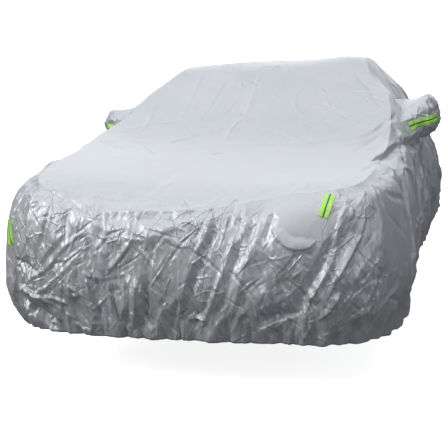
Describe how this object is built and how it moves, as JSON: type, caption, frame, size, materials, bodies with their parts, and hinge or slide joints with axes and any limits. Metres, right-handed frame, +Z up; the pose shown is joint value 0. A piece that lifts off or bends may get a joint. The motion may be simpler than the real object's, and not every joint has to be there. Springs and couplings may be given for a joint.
{
  "type": "car cover",
  "caption": "Fitted silver cloth cover for a small car, draped to its shape, with a gathered hem, a pocket for each door mirror and lime reflective strips.",
  "frame": {"origin": "underside of the cloth on the middle line of the roof, where the cover is held up", "axes": "+Z up, the front of the cover faces -Y, +X towards the cover's left side"},
  "size_m": [2.017, 4.607, 1.2937],
  "materials": {
    "silver_cloth": "satin silver coating on a thin woven cloth, with a soft metallic sheen",
    "lime_strip": "satin reflective tape, lime with a dark line along the middle"
  },
  "bodies": {
    "root": {"top_panel": "silver_cloth", "front_panel": "silver_cloth", "rear_panel": "silver_cloth", "side_panel_left": "silver_cloth", "side_panel_right": "silver_cloth", "mirror_pocket_left": "silver_cloth", "mirror_pocket_right": "silver_cloth", "mirror_strip_left": "lime_strip", "mirror_strip_right": "lime_strip", "front_strip_left": "lime_strip", "front_strip_right": "lime_strip"}
  },
  "joints": []
}
